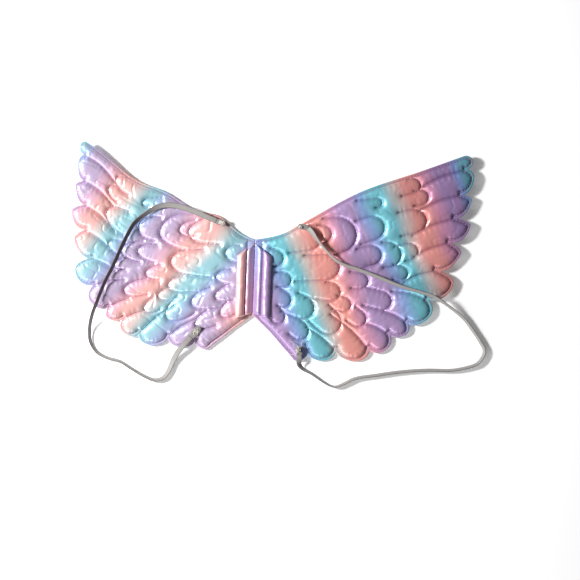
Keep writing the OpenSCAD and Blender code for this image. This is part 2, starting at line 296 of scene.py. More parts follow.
def wave_over(nodes, links, attribute, pitch):
    """sin(2 pi value / pitch) of one of the mesh's own values."""
    value = add_node(nodes, "ShaderNodeAttribute", attribute_name=attribute)
    turns = add_node(nodes, "ShaderNodeMath", operation="MULTIPLY")
    turns.inputs[1].default_value = 2 * math.pi / pitch
    wave = add_node(nodes, "ShaderNodeMath", operation="SINE")
    links.new(value.outputs["Fac"], turns.inputs[0])
    links.new(turns.outputs[0], wave.inputs[0])
    return wave


def woven_elastic(name):
    """Flat braided elastic: ribs along the band, crossed by fine picks, and darker where the soil_and_shade
    value is high. On the strap that value is painted shade, on its edges and on the stretch that stands on
    its edge; on the tabs it is soil."""
    material, nodes, links = new_material(name)
    shader = nodes["Principled BSDF"]
    rib = wave_over(nodes, links, "across", RIB_PITCH)
    pick = wave_over(nodes, links, "along", PICK_PITCH)
    weave = add_node(nodes, "ShaderNodeMath", operation="MULTIPLY")
    links.new(rib.outputs[0], weave.inputs[0])
    links.new(pick.outputs[0], weave.inputs[1])
    tone = add_node(nodes, "ShaderNodeMapRange")
    tone.inputs["From Min"].default_value = -1
    links.new(weave.outputs[0], tone.inputs["Value"])
    colour = add_node(nodes, "ShaderNodeMix", data_type="RGBA")
    set_sockets(colour, {"A": (0.17, 0.16, 0.15, 1), "B": (0.36, 0.345, 0.33, 1)})
    links.new(tone.outputs["Result"], colour.inputs["Factor"])
    soil_and_shade = add_node(nodes, "ShaderNodeAttribute", attribute_name="soil_and_shade")
    # Painted shade: the colour goes nearly black where soil_and_shade is high.
    shade_mix = add_node(nodes, "ShaderNodeMix", data_type="RGBA")
    shade_mix.inputs["B"].default_value = (0.035, 0.02, 0.025, 1)
    links.new(soil_and_shade.outputs["Fac"], shade_mix.inputs["Factor"])
    links.new(colour.outputs["Result"], shade_mix.inputs["A"])
    links.new(shade_mix.outputs["Result"], shader.inputs["Base Color"])
    bump = add_bump(nodes, links, tone.outputs["Result"], 0.5, 0.0002)
    links.new(bump.outputs["Normal"], shader.inputs["Normal"])
    set_sockets(shader, {"Roughness": 0.5, "Sheen Weight": 0.2})
    return material


def fluffy_wadding(name):
    """White polyester wadding: a mottled, matt, fibrous surface."""
    material, nodes, links = new_material(name)
    shader = nodes["Principled BSDF"]
    fluff = object_texture(nodes, links, "ShaderNodeTexNoise", Scale=420.0, Detail=6.0)
    colour = add_node(nodes, "ShaderNodeMix", data_type="RGBA")
    set_sockets(colour, {"A": (0.78, 0.78, 0.76, 1), "B": (0.96, 0.96, 0.94, 1)})
    links.new(fluff.outputs["Fac"], colour.inputs["Factor"])
    links.new(colour.outputs["Result"], shader.inputs["Base Color"])
    bump = add_bump(nodes, links, fluff.outputs["Fac"], 0.8, 0.001)
    links.new(bump.outputs["Normal"], shader.inputs["Normal"])
    shader.inputs["Roughness"].default_value = 0.95
    return material


seam_thread = plain_thread("seam thread", (0.42, 0.30, 0.46))
rim_thread = plain_thread("rim thread", (0.46, 0.28, 0.42))
pale_thread = plain_thread("pale thread", (0.62, 0.58, 0.52))
dark_thread = plain_thread("dark thread", (0.16, 0.08, 0.20))
elastic = woven_elastic("woven elastic")
wadding_white = fluffy_wadding("wadding")
print("thread, elastic and wadding materials made")

# %% [markdown]
# ## Arm straps
# Each strap is one length of flat elastic, sewn down at both ends. It lies where it fell: across its
# wing, over the edge and back along the floor, partly standing on its edge. Flat elastic has a width
# and a roll, so the band is a flat rounded profile carried along the route and rolled by the angle
# that goes with each point.
# A grime value darkens its edges and one worn stretch.

# %% Strap routes
# x, y, z in metres, and the roll in degrees: 0 lies flat, 90 stands on its edge.
RIGHT_ROUTE = [
    (0.0575, 0.0555, 0.0094, 0), (0.0625, 0.0505, 0.011, 35), (0.069, 0.042, 0.0122, 62),
    (0.076, 0.034, 0.0128, 68), (0.084, 0.026, 0.0128, 66), (0.092, 0.02, 0.0126, 60),
    (0.101, 0.016, 0.0124, 55), (0.112, 0.013, 0.0124, 52), (0.136, 0.005, 0.0126, 52),
    (0.161, -0.004, 0.0132, 55), (0.188, -0.011, 0.0148, 58), (0.199, -0.0145, 0.015, 60),
    (0.21, -0.021, 0.0115, 62), (0.222, -0.029, 0.0068, 62), (0.233, -0.038, 0.0042, 62),
    (0.242, -0.049, 0.0033, 62), (0.25, -0.06, 0.0032, 62), (0.256, -0.071, 0.0032, 62),
    (0.253, -0.081, 0.0032, 62), (0.245, -0.088, 0.0032, 62), (0.222, -0.094, 0.0032, 62),
    (0.194, -0.095, 0.0032, 60), (0.165, -0.098, 0.0032, 60), (0.137, -0.103, 0.0032, 60),
    (0.116, -0.107, 0.0032, 62), (0.104, -0.113, 0.0032, 65), (0.094, -0.117, 0.0032, 70),
    (0.084, -0.114, 0.0032, 70), (0.068, -0.104, 0.0032, 65), (0.058, -0.099, 0.0036, 55),
    (0.0535, -0.094, 0.0056, 30), (0.053, -0.089, 0.0088, 10), (0.053, -0.0845, 0.0094, 0),
]
LEFT_ROUTE = [
    (-0.0435, 0.06, 0.0094, 0), (-0.052, 0.063, 0.0102, 0), (-0.067, 0.069, 0.0104, 0),
    (-0.084, 0.074, 0.0108, -5), (-0.098, 0.075, 0.0118, -15), (-0.109, 0.072, 0.0131, -30),
    (-0.12, 0.065, 0.0146, -45), (-0.133, 0.053, 0.0162, -52), (-0.143, 0.033, 0.0173, -55),
    (-0.154, 0.006, 0.0187, -58), (-0.161, -0.009, 0.0196, -60), (-0.166, -0.022, 0.0204, -60),
    (-0.17, -0.034, 0.0207, -60), (-0.174, -0.045, 0.0165, -60), (-0.177, -0.056, 0.0095, -60),
    (-0.178, -0.066, 0.0048, -60), (-0.1765, -0.078, 0.0032, -60), (-0.169, -0.089, 0.0032, -60),
    (-0.157, -0.095, 0.0032, -62), (-0.144, -0.098, 0.0032, -65), (-0.13, -0.106, 0.0032, -65),
    (-0.117, -0.113, 0.0032, -62), (-0.106, -0.117, 0.0032, -58), (-0.096, -0.115, 0.0032, -50),
    (-0.09, -0.107, 0.0032, -40), (-0.086, -0.097, 0.0038, -25), (-0.081, -0.087, 0.0068, -10),
    (-0.0735, -0.077, 0.0098, 0), (-0.0665, -0.0685, 0.0094, 0),
]
STRAP_W = 6.0
STRAP_T = 1.0
# The stretch of each strap that gets painted shade where it stands on its edge, in millimetres along it.
SHADED_STRETCH = {"right": (0.0, 0.0), "left": (72.0, 232.0)}
print("strap route points:", len(RIGHT_ROUTE), len(LEFT_ROUTE))


# %% Strap bands
def flat_profile(width, thickness, around):
    """A rounded flat section: a superellipse, |x/a|^4 + |y/b|^4 = 1, walked by angle."""
    angle = 2 * np.pi * np.arange(around) / around
    c, s = np.cos(angle), np.sin(angle)
    return np.stack([np.sign(c) * np.abs(c) ** 0.5 * width / 2,
                     np.sign(s) * np.abs(s) ** 0.5 * thickness / 2], -1)


def band_along(path, roll, profile):
    """The profile carried along a path. At each point the level direction and the upward direction
    square to the path are turned by the roll."""
    ahead = unit(np.gradient(path, axis=0))
    level = unit(np.cross([0.0, 0.0, 1.0], ahead))
    up = np.cross(ahead, level)
    c, s = np.cos(roll)[:, None], np.sin(roll)[:, None]
    wide = level * c + up * s
    thick = np.cross(ahead, wide)
    rings = path[:, None] + wide[:, None] * profile[None, :, :1] + thick[:, None] * profile[None, :, 1:]
    return rings.reshape(-1, 3)


def make_strap(side, route):
    route = np.array(route, float)
    smooth = smooth_through(route, 8)
    path = smooth[:, :3] / MM
    profile = flat_profile(STRAP_W, STRAP_T, 16)
    verts = band_along(path, np.radians(smooth[:, 3]), profile)
    length = np.concatenate([[0], np.cumsum(np.linalg.norm(np.diff(path, axis=0), axis=1))])
    across = np.tile(profile[:, 0], len(path))
    along = np.repeat(length, len(profile))
    # Painted shade: the band's edges are darkened, and so is the stretch of the left strap that stands on its
    # edge across the wing.
    edge_shade = 0.55 * np.clip((np.abs(across) - 0.36 * STRAP_W) / (0.12 * STRAP_W), 0, 1)
    start, end = SHADED_STRETCH[side]
    shade_stretch = np.clip((along - start) / 25, 0, 1) * np.clip((end - along) / 20, 0, 1)
    piece = add_piece(f"{side}_arm_strap", verts, tube_faces(len(path), len(profile)), {
        "along": along, "across": across, "soil_and_shade": np.maximum(edge_shade, 0.9 * shade_stretch)})
    outwards(piece)
    settle(piece, None, elastic, "strap_elastic", f"{side}_strap")
    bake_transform(piece)
    print(f"{side} strap is {length[-1]:.0f} mm long")


make_strap("right", RIGHT_ROUTE)
make_strap("left", LEFT_ROUTE)

# %% [markdown]
# ## The wing's pattern
# Both wings are cut from one paper pattern, drawn here for the right wing. Its outline is a smooth
# leading edge, twelve rounded feather ends and a short lower edge. The quilting is a list of
# feathers, each sewn along its two sides and round its end, and a stitch line that runs in from each
# notch. The left wing is the mirror image, drawn in by its curl, and its slack cloth pulls the round
# ends of the feathers out to a point.

# %% Outline
LEAD = np.array([(0, 41), (27, 47.5), (51, 61), (113, 97.5), (178, 122.5), (226, 141.5)], float)
NOTCHES = np.array([
    (226, 141.5), (229, 127), (225, 99), (219, 73), (214, 46), (200, 15), (193, -18),
    (171, -44), (151, -57), (130, -75), (93, -77), (62, -80), (45, -87)], float)
FEATHER_ENDS = np.array([
    (235.5, 136), (237, 116), (235.5, 93), (235, 65), (226, 34), (219, 1),
    (194, -37), (169, -57), (148, -74.5), (115, -88), (79, -89), (54, -90)], float)
TRAIL = np.array([(45, -87), (20, -60), (0, -42)], float)
END_STEPS = 7
SEAM_GAP = 0.25


def feather_end(p, tip, q, narrower):
    """Two quarter ellipses: one leaves notch p square to the chord and meets the tip, the other
    goes back from the tip to notch q. Both sides move in by narrower."""
    along = unit(q - p)
    out = np.array([-along[1], along[0]])
    p, q = p + narrower * along, q - narrower * along
    turn = np.radians(90 * np.arange(END_STEPS + 1) / END_STEPS)[:, None]

    def quarter(a):
        corner = a + out * np.dot(tip - a, out)
        return corner + (a - corner) * (1 - np.sin(turn)) + (tip - corner) * (1 - np.cos(turn))

    return np.concatenate([quarter(p)[:-1], quarter(q)[:0 if narrower == 0 else None:-1]])


LEAD_IN = np.array([0.41, -0.91])
TRAIL_IN = np.array([0.7, 0.7])
NOTCH_SHARE = 1.3
SIDE_SHARE = 0.85


def wing_outline(inset=0.0):
    """The closed outline, moved inwards by inset. A notch moves further than a feather's end, a
    feather's sides a little less, and its end keeps its share of the way across the feather."""
    chord = np.diff(NOTCHES, axis=0)
    width = np.linalg.norm(chord, axis=1, keepdims=True)
    along = chord / width
    out = np.stack([-along[:, 1], along[:, 0]], -1)
    side = SIDE_SHARE * inset
    notches = NOTCHES - NOTCH_SHARE * inset * unit(
        np.concatenate([out[:1], out]) + np.concatenate([out, out[-1:]]))
    notches[0] = NOTCHES[0] + inset * LEAD_IN - side * along[0]
    tip = FEATHER_ENDS - NOTCHES[:-1]
    across = (tip * along).sum(1, keepdims=True)
    high = (tip * out).sum(1, keepdims=True)
    ends = NOTCHES[:-1] + along * (side + across * (width - 2 * side) / width) + out * (high - inset)
    lead = smooth_through(LEAD + inset * LEAD_IN, 6)[:-1]
    lobes = [feather_end(notches[i], ends[i], notches[i + 1], side) for i in range(len(ends))]
    trail = (TRAIL if inset == 0 else TRAIL[1:]) + inset * TRAIL_IN
    line = np.concatenate([lead, *lobes, trail])
    line[:, 0] = np.maximum(line[:, 0], SEAM_GAP)
    return line


print("outline points:", len(wing_outline()))

# %% Quilting lines
# End x, end y, direction, half width, length sewn along the upper side and along the lower side.
FEATHERS = [
    (32, 20, -10, 9, 6, 0), (41.5, -2, 0, 8, 8, 6), (41, -28, -30, 9, 8, 0), (34, -48, -45, 8, 4, 0),
    (73, 48, 10, 14, 15, 22), (94, 15, 5, 14, 22, 34), (96, -14, -5, 10, 6, 26), (67, -36, -20, 13, 8, 18),
    (61, -63, -35, 10, 10, 6),
    (84, 50, 0, 9, 6, 4), (111, 52, 8, 20, 12, 10), (126, 0, -2, 9, 10, 8), (108, -28, -12, 8, 8, 10),
    (95, -55, -40, 14, 10, 14),
    (138, 87, 8, 5, 22, 2), (141, 63, 20, 13, 14, 16), (139, 32, 18, 11, 12, 16), (161, 31, 5, 14, 4, 4),
    (169, 9, -8, 8, 8, 6), (152, -23, -12, 10, 20, 18), (124, -46, -32, 9, 8, 8),
    (179, 109, 16, 8, 4, 14), (188.5, 96, 12, 8, 6, 8), (187, 71, 14, 13, 14, 16), (179, 37, 16, 9, 14, 6),
]
GROOVE_ENDS = [
    (180, 105), (178, 79), (172, 52), (175, 29), (165, 1), (152, -10),
    (144, -32), (123, -46), (86, -38), (60, -53), (60, -72)]
RIM_STITCH = 2.9
FLAP_LINE_X = 8.6


# Length of a feather's round end for its half width. A longer end leaves less for the sides.
ROUND_END = {"right": 1.15, "left": 2.0}


def feather_line(side, x, y, heading, half, upper, lower):
    """Along the upper side, round an elliptical end and back along the lower side."""
    ahead = np.array([np.cos(np.radians(heading)), np.sin(np.radians(heading))])
    up = np.array([-ahead[1], ahead[0]])
    round_l = ROUND_END[side] * half
    spare = round_l - ROUND_END["right"] * half
    upper, lower = max(upper - spare, 0), max(lower - spare, 0)
    turn = np.radians(np.linspace(90, -90, 17))[:, None]
    end = np.array([x, y]) - ahead * round_l * (1 - np.cos(turn)) + up * half * np.sin(turn)
    start = end[:1] - ahead * upper
    back = end[-1:] - ahead * lower
    return np.concatenate([start, end, back])


def quilting_lines(side):
    notches = NOTCHES[1:-1] + unit(np.array(GROOVE_ENDS, float) - NOTCHES[1:-1]) * RIM_STITCH
    lines = [feather_line(side, *f) for f in FEATHERS]
    for start, end in zip(notches, np.array(GROOVE_ENDS, float)):
        bow = np.array([end[1] - start[1], start[0] - end[0]]) * 0.05
        lines.append(smooth_through([start, (start + end) / 2 + bow, end], 4))
    return lines


LINES = {side: quilting_lines(side) for side in SIDES}
RIM_LINE = wing_outline(RIM_STITCH)
print("quilting lines:", len(LINES["right"]))

# %% [markdown]
# ## How the quilting swells
# Stitches hold the cloth down and the wadding pushes it up between them, like a soap film that is
# blown over a frame. So the height between the lines is the solution of that film's equation on a
# fine grid, found by letting it relax. A film over a narrow channel is a shallow arc; cloth over
# wadding is rounder and falls steeply to its stitches, so the arc is turned into an ellipse from
# each point's distance to the nearest stitch line.

# %% Distances on the grid
STEP = 1.0
grid_x = np.arange(SEAM_GAP, 240, STEP)
grid_y = np.arange(-93, 145, STEP)
GX, GY = np.meshgrid(grid_x, grid_y, indexing="ij")


def inside(x, y, poly):
    """Counts how often a line to the right crosses the outline; an odd count is inside."""
    p, q = poly, np.roll(poly, -1, axis=0)
    count = np.zeros(x.shape, int)
    for (px, py), (qx, qy) in zip(p, q):
        if py != qy:
            hit = ((py > y) != (qy > y)) & (x < px + (y - py) / (qy - py) * (qx - px))
            count += hit
    return count % 2 == 1


def nearest(x, y, lines):
    """For each point: the distance to the nearest line, how far along it, and the foot itself."""
    best = np.full(x.shape, 1e9)
    along = np.zeros(x.shape)
    foot = np.zeros(x.shape + (2,))
    for number, line in enumerate(lines):
        run = 37.0 * number
        for a, b in zip(line[:-1], line[1:]):
            d = b - a
            size = np.linalg.norm(d)
            if size < 1e-9:
                continue
            t = np.clip(((x - a[0]) * d[0] + (y - a[1]) * d[1]) / size**2, 0, 1)
            fx, fy = a[0] + t * d[0], a[1] + t * d[1]
            far = np.hypot(x - fx, y - fy)
            closer = far < best
            best = np.where(closer, far, best)
            along = np.where(closer, run + t * size, along)
            foot[..., 0] = np.where(closer, fx, foot[..., 0])
            foot[..., 1] = np.where(closer, fy, foot[..., 1])
            run += size
    return best, along, foot


def closed(line):
    return np.concatenate([line, line[:1]])


FLAP_LINE = np.array([(FLAP_LINE_X, 36.0), (FLAP_LINE_X, -40.0)])
OUTLINE = wing_outline()
in_wing = inside(GX, GY, OUTLINE)
in_quilt = inside(GX, GY, RIM_LINE)
line_gap, line_run = {}, {}
for side in SIDES:
    line_gap[side], line_run[side], _ = nearest(GX, GY, LINES[side] + [closed(RIM_LINE), FLAP_LINE])
print("grid points in the wing:", int(in_wing.sum()))


# %% Relax the film
def blur(field, times):
    """Averages each point with its neighbours, again and again."""
    for _ in range(times):
        padded = np.pad(field, 1, mode="edge")
        field = (padded[:-2, 1:-1] + padded[2:, 1:-1] + padded[1:-1, :-2] + padded[1:-1, 2:] + field * 4) / 8
    return field


OVERSHOOT = 1.7         # of each step of the relaxation
HELD_GAP = 0.55         # mm from a stitch line where the film is held
KNOWN_GAP = 1.4         # mm from a stitch line where the film tells a width
WIDEST_HALF = 22


def relax_film(free, rounds):
    """Red-black over-relaxation of: sum of the four neighbours - 4 u = -step^2, with u = 0 where
    the film is held."""
    u = np.zeros(free.shape)
    i, j = np.indices(free.shape)
    colours = [free & ((i + j) % 2 == c) for c in (0, 1)]
    for _ in range(rounds):
        for colour in colours:
            around = np.zeros(u.shape)
            around[1:-1, 1:-1] = u[:-2, 1:-1] + u[2:, 1:-1] + u[1:-1, :-2] + u[1:-1, 2:]
            target = (around + STEP**2) / 4
            u = np.where(colour, u + OVERSHOOT * (target - u), u)
    return u


def channel_half_width(gap):
    """Half the width of the channel whose film has this height at this distance from its edge,
    smoothed over the neighbours."""
    film = relax_film(in_quilt & (gap > HELD_GAP), 160)
    known = in_quilt & (gap > KNOWN_GAP)
    half = np.where(known, film / np.maximum(gap, 0.5) + gap / 2, 0)
    return blur(np.clip(half, 0, WIDEST_HALF), 10) / np.maximum(blur(known.astype(float), 10), 1e-3)


half_width = {side: channel_half_width(line_gap[side]) for side in SIDES}
print("widest channel:", round(float(half_width["right"].max()), 1), "mm half width")


ARC_POWER = 1.7


def swell_at(gap, half):
    """The arc over a channel: sqrt(2 w d - d^2) / w, where d is the distance from its edge, raised to
    a power that eases it down to the stitches."""
    d = np.minimum(gap, half)
    arc = np.sqrt(np.maximum(2 * half * d - d * d, 0)) / np.maximum(half, 1e-6)
    return half * arc ** ARC_POWER


# %% [markdown]
# ## Cutting the grid to the wing's shape
# The grid's cells whose middle is inside the outline make the sheet, and the points on its border
# are moved onto the outline, so the scalloped edge is clean. Both sheets and both wings use this cut.

# %% Cut the grid
cell_mid_x = GX[:-1, :-1] + STEP / 2
cell_mid_y = GY[:-1, :-1] + STEP / 2
cells = inside(cell_mid_x, cell_mid_y, OUTLINE)
count = np.zeros(GX.shape, int)
for di, dj in ((0, 0), (1, 0), (0, 1), (1, 1)):
    count[di:di + cells.shape[0], dj:dj + cells.shape[1]] += cells
used = count > 0
border = used & (count < 4)
border[0] = False
edge_gap, _, edge_foot = nearest(GX, GY, [closed(OUTLINE)])
CX = np.where(border, edge_foot[..., 0], GX)
CY = np.where(border, edge_foot[..., 1], GY)
edge_gap = np.where(border, 0, edge_gap)
index = np.full(GX.shape, -1)
index[used] = np.arange(used.sum())
ci, cj = np.nonzero(cells)
SHEET_FACES = np.stack([index[ci, cj], index[ci + 1, cj], index[ci + 1, cj + 1], index[ci, cj + 1]], -1)
PX, PY = CX[used], CY[used]
LINE_GAP = {side: line_gap[side][used] for side in SIDES}
LINE_RUN = {side: line_run[side][used] for side in SIDES}
HALF = {side: half_width[side][used] for side in SIDES}
QUILTED = in_quilt[used]
print("sheet cells:", len(SHEET_FACES))

# %% [markdown]
# ## Laying the pattern down
# A point of the pattern goes to its place on the floor: the right wing's as drawn, the left wing's
# mirrored and drawn in. The outer part of each wing lifts off the floor, as in the CAD frame.


# %% Lay the pattern
def clamp01(x):
    return np.clip(x, 0, 1)


def hump(x, middle, width):
    return np.exp(-((x - middle) / width) ** 2)


def lay(side, x, y):
    """Pattern to floor. The left wing narrows outward of 82 mm, most at its top, gathers a tenth
    along its lower edge, and is pulled up where the strap is sewn on."""
    if side == "right":
        return x, y
    draw = 0.26 * np.maximum(0, x - 82) * (0.45 + 0.55 * clamp01((y + 65) / 185))
    low = -0.1 * y * np.minimum(1, x / 45)
    high = np.minimum(1, y / 50) * 11 * (hump(x, 38, 20) - hump(x, 150, 45))
    return -(x - draw), y + np.where(y < 0, low, high)


LIFT = {"right": (6.0, 110.0, 127.0), "left": (12.0, 70.0, 125.0)}


def lift(side, floor_x):
    height, start, reach = LIFT[side]
    return height * (np.maximum(0, np.abs(floor_x) - start) / reach) ** 2


def smoothstep(x, low, high):
    t = clamp01((x - low) / (high - low))
    return t * t * (3 - 2 * t)


print("lift of the left edge:", round(float(lift("left", 200.0)), 1), "mm")

# %% [markdown]
# ## The two covers
# The inner cover swells high, because the wadding lies soft on top; the outer cover is pressed
# nearly flat against the floor. Near a stitch line the cloth puckers in small folds that cross the
# line and die out after a few millimetres, and larger soft creases run over the feathers. The sheet
# is given its thickness by Solidify, inwards, so its outer surface stays where it was worked out.

# %% Cover heights
RIM_TOP = 3.8
RIM_UNDER = 2.2
STITCH_DIP = 0.45
# The most that the cloth swells, and how fast it gets there.
SWELL = {
    "inner": {"right": (4.6, 0.8), "left": (5.3, 0.95)},
    "outer": {"right": (2.0, 0.5), "left": (2.0, 0.5)}}
PUCKER = {"right": 0.20, "left": 0.24}
PUCKER_SEED = {"right": 11, "left": 23}
PUCKER_PITCH = 6.5
PUCKER_REACH = 2.2
CREASE = {"right": 0.3, "left": 0.7}
CREASE_SEED = {"right": 31, "left": 47}
CREASE_TURN = 20


def puckers(side, size):
    """Small folds across the stitch line: a wave along the line, strongest PUCKER_REACH away from it,
    with its pitch and its strength wandering."""
    seed, run, gap = PUCKER_SEED[side], LINE_RUN[side], LINE_GAP[side]
    wander = soft_noise(run, run * 0 + 3, 6.0, seed) * 2.5
    strength = 0.5 + 0.5 * soft_noise(run, run * 0 + 9, 14.0, seed + 1)
    wave = np.sin(2 * np.pi * run / PUCKER_PITCH + wander)
    return size * strength * wave * (gap / PUCKER_REACH) * np.exp(1 - gap / PUCKER_REACH)


def creases(side, size):
    """Soft creases: ridges where a stretched noise passes through zero."""
    seed = CREASE_SEED[side]
    turn = np.radians(CREASE_TURN)
    along = PX * np.cos(turn) + PY * np.sin(turn)
    across = PY * np.cos(turn) - PX * np.sin(turn)
    broad = soft_noise(along, across * 1.6, 26.0, seed)
    fold = soft_noise(along, across * 2.2, 17.0, seed + 1)
    return size * (0.7 * broad - 1.1 * np.exp(-(fold / 0.12) ** 2) * smoothstep(LINE_GAP[side], 1, 5))


def cover_height(side, cover):
    top, steep = SWELL[cover][side]
    swell = swell_at(LINE_GAP[side], HALF[side])
    puff = top * (1 - np.exp(-steep * swell / top))
    fade = smoothstep(PX, FLAP_LINE_X + 1, 24)
    puff *= 0.55 + 0.45 * fade
    puff = np.where(QUILTED & (PX > FLAP_LINE_X), puff, 0)
    detail = puckers(side, PUCKER[side]) + creases(side, CREASE[side]) * puff / top
    detail *= np.where(QUILTED, 1, 0.35) * smoothstep(PX, 2, 12)
    dip = STITCH_DIP * np.exp(-(LINE_GAP[side] / 0.9) ** 2)
    if cover == "inner":
        return RIM_TOP + puff + detail - dip
    return np.maximum(RIM_UNDER - puff - detail * 0.4 + dip * 0.6, 0.15)


print("the rim lies from", RIM_UNDER, "to", RIM_TOP, "mm high")

# %% Make the covers
SHEET_T = 0.7
BAND_SLANT = {"right": (0.915, 0.40), "left": (0.77, 0.63)}
LOW_SHIFT = 14          # mm that the left wing's lower panel is out of step
BAND_WANDER = 5
TIP_START = 225         # mm across the bands from which they close up
TIP_GROWTH = 0.42
# Painted shade along the stitch lines, and on the right wing towards its tip, where the lamp's light falls
# off.
GROOVE_SHADE = 0.45
TIP_SHADE = 0.6


def across_bands(side, x, y):
    return BAND_SLANT[side][0] * np.abs(x) + BAND_SLANT[side][1] * y


def band_value(side, x, y):
    """How far a point lies across the colour bands, in periods. They wander a little, and close up
    near the tip."""
    across = across_bands(side, x, y)
    if side == "left":
        across = across + LOW_SHIFT * smoothstep(-y, 45, 70) * (1 - smoothstep(np.abs(x), 60, 95))
    growth = TIP_GROWTH * np.maximum(0, across - TIP_START)
    across = across + BAND_WANDER * soft_noise(x, y, 40.0, 5) + growth
    return across / BAND_PERIOD[side]


def make_cover(side, cover):
    floor_x, floor_y = lay(side, PX, PY)
    height = cover_height(side, cover)
    verts = np.stack([floor_x, floor_y, lift(side, floor_x) + height], -1)
    faces = SHEET_FACES
    up = (side == "right") == (cover == "inner")
    if not up:
        faces = faces[:, ::-1]
    # The dip value is painted shade: darker along every stitch line, where the groove falls into shade, and
    # on the right wing darker towards its outer tip.
    dip = np.exp(-LINE_GAP[side] ** 2) * GROOVE_SHADE
    if side == "right":
        dip = dip + TIP_SHADE * smoothstep(across_bands(side, PX, PY), 120, 250)
    piece = add_piece(f"{side}_{cover}_cover_cloth", verts, faces.tolist(), {
        "band": band_value(side, floor_x, floor_y), "dip": dip})
    wall = piece.modifiers.new("cloth thickness", "SOLIDIFY")
    wall.thickness = SHEET_T * MM
    wall.offset = -1
    settle(piece, f"{side}_wing", pearl[side], "pearl_cover", f"{side}_{cover}_cover")
    return height


cover_tops = {side: make_cover(side, "inner") for side in SIDES}
cover_unders = {side: make_cover(side, "outer") for side in SIDES}

# %% [markdown]
# ## Wadding
# Between the covers lies soft white wadding. It is worked out from the covers themselves, so it fills
# them and never shows: its top is the lowest point of the inner cover nearby, its underside the
# highest point of the outer cover nearby, and both are kept a little away from the cloth.


# %% Wadding
def near_extreme(field, pick, reach):
    """The lowest or highest value within reach grid steps, along one axis and then the other."""
    for axis in (0, 1):
        best = field
        for shift in range(-reach, reach + 1):
            best = pick(best, np.roll(field, shift, axis))
        field = best
    return field


def on_grid(values, rest):
    field = np.full(GX.shape, rest)
    field[used] = values
    return field


def pad_faces(quads, points):
    """Closes a pad made of a top sheet and a bottom sheet with the same cells: the bottom's faces
    are turned over, and each border edge gets a side wall."""
    edges = np.concatenate([quads[:, [k, (k + 1) % 4]] for k in range(4)])
    keys = np.sort(edges, axis=1)
    _, first, times = np.unique(keys, axis=0, return_index=True, return_counts=True)
    rim = edges[first[times == 1]]
    walls = np.stack([rim[:, 1], rim[:, 0], rim[:, 0] + points, rim[:, 1] + points], -1)
    return np.concatenate([quads, quads[:, ::-1] + points, walls])


WAD_STRIDE = 3
WAD_MARGIN = 7.0
WAD_SPACE = 0.35


def make_wadding(side):
    roof = near_extreme(on_grid(cover_tops[side], RIM_TOP), np.minimum, WAD_STRIDE) - SHEET_T - WAD_SPACE
    bed = near_extreme(on_grid(cover_unders[side], RIM_UNDER), np.maximum, WAD_STRIDE) + SHEET_T + WAD_SPACE
    middle = (RIM_TOP + RIM_UNDER) / 2
    roof, bed = np.maximum(roof, middle + 0.05), np.minimum(bed, middle - 0.05)
    pick = (slice(None, None, WAD_STRIDE), slice(None, None, WAD_STRIDE))
    x, y, deep = GX[pick], GY[pick], (edge_gap[pick] > WAD_MARGIN) & in_wing[pick] & (GX[pick] > FLAP_LINE_X)
    solid = deep[:-1, :-1] & deep[1:, :-1] & deep[1:, 1:] & deep[:-1, 1:]
    i, j = np.nonzero(solid)
    corner = np.stack([i * x.shape[1] + j, (i + 1) * x.shape[1] + j,
                       (i + 1) * x.shape[1] + j + 1, i * x.shape[1] + j + 1], -1)
    kept, quads = np.unique(corner, return_inverse=True)
    quads = quads.reshape(corner.shape)
    floor_x, floor_y = lay(side, x.ravel()[kept], y.ravel()[kept])
    raised = lift(side, floor_x)
    top = np.stack([floor_x, floor_y, raised + roof[pick].ravel()[kept]], -1)
    under = np.stack([floor_x, floor_y, raised + bed[pick].ravel()[kept]], -1)
    faces = pad_faces(quads, len(kept))
    piece = add_piece(f"{side}_panel_wadding", np.concatenate([top, under]), faces.tolist())
    outwards(piece)
    settle(piece, f"{side}_wing", wadding_white, "wadding", f"{side}_wadding")


for side in SIDES:
    make_wadding(side)

# %% [markdown]
# ## Stitches
# Every visible stitch is its own small thread: a short capsule that dips into the cloth at both ends.
# A row of them follows a line of the pattern, at the height of the cloth there.


# %% Stitch rows
def cloth_top(side, x, y):
    """The inner cover's height at any point of the pattern, between the grid's points."""
    field = on_grid(cover_tops[side], RIM_TOP)
    gx = np.clip((np.asarray(x) - grid_x[0]) / STEP, 0, len(grid_x) - 1.001)
    gy = np.clip((np.asarray(y) - grid_y[0]) / STEP, 0, len(grid_y) - 1.001)
    i, j = gx.astype(int), gy.astype(int)
    fx, fy = gx - i, gy - j
    return ((field[i, j] * (1 - fx) + field[i + 1, j] * fx) * (1 - fy)
            + (field[i, j + 1] * (1 - fx) + field[i + 1, j + 1] * fx) * fy)


def points_along(line, at):
    """Points at the given distances along a line of any dimension."""
    line = np.asarray(line, float)
    run = np.concatenate([[0], np.cumsum(np.linalg.norm(np.diff(line, axis=0), axis=1))])
    return np.stack([np.interp(at, run, line[:, k]) for k in range(line.shape[1])], -1), run[-1]


def stitch_ends(line, pitch, length):
    """Start and end of each stitch along a line, evenly spaced."""
    _, total = points_along(line, [0])
    starts = np.arange(0.6, max(total - length, 0.7), pitch)
    return points_along(line, starts)[0], points_along(line, starts + length)[0]


